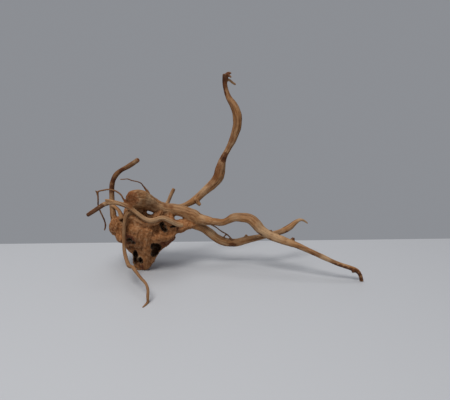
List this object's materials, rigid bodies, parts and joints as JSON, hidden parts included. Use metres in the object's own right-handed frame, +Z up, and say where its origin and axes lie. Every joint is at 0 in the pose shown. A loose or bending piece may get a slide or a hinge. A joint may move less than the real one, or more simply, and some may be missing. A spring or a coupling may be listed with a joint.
{
  "type": "dry root",
  "caption": "Dry branching root: a gnarled burl on a small worn foot, with wandering arms, one tall upright limb and thin hair roots.",
  "frame": {"origin": "middle of the worn flat under the burl's foot, on the surface that the root stands on", "axes": "+Z up from the surface; +X along the reach of the longest arm; -Y the side with the front leg"},
  "size_m": [0.4213, 0.1858, 0.3085],
  "materials": {
    "weathered_wood": "bare, peeled and dried, dull"
  },
  "bodies": {
    "root": {"dry_root": "weathered_wood"}
  },
  "joints": []
}
